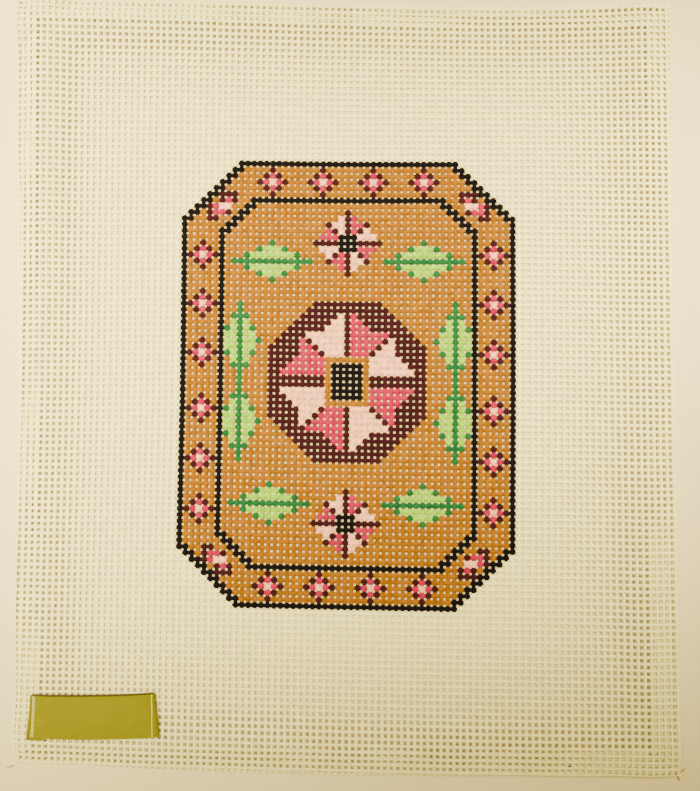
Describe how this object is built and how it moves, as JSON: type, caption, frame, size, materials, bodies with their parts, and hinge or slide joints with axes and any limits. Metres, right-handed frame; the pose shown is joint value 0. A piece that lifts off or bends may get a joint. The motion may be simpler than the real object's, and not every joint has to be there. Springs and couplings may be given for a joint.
{
  "type": "needlepoint canvas panel",
  "caption": "Rectangle of open-mesh cotton canvas with its edges turned under, a painted geometric chart for stitching over and a small sewn-on label, lying flat.",
  "frame": {"origin": "on the surface the panel lies on, under the middle of its outline", "axes": "+X across the panel to the right, +Y up the design, +Z out of the painted face"},
  "size_m": [0.2019, 0.239, 0.0048],
  "materials": {
    "canvas": "matt sized cotton, cream, with matt painted threads in the chart",
    "label": "fine woven ribbon, yellow, slight sheen"
  },
  "bodies": {
    "root": {"canvas": "canvas", "label": "label"}
  },
  "joints": []
}
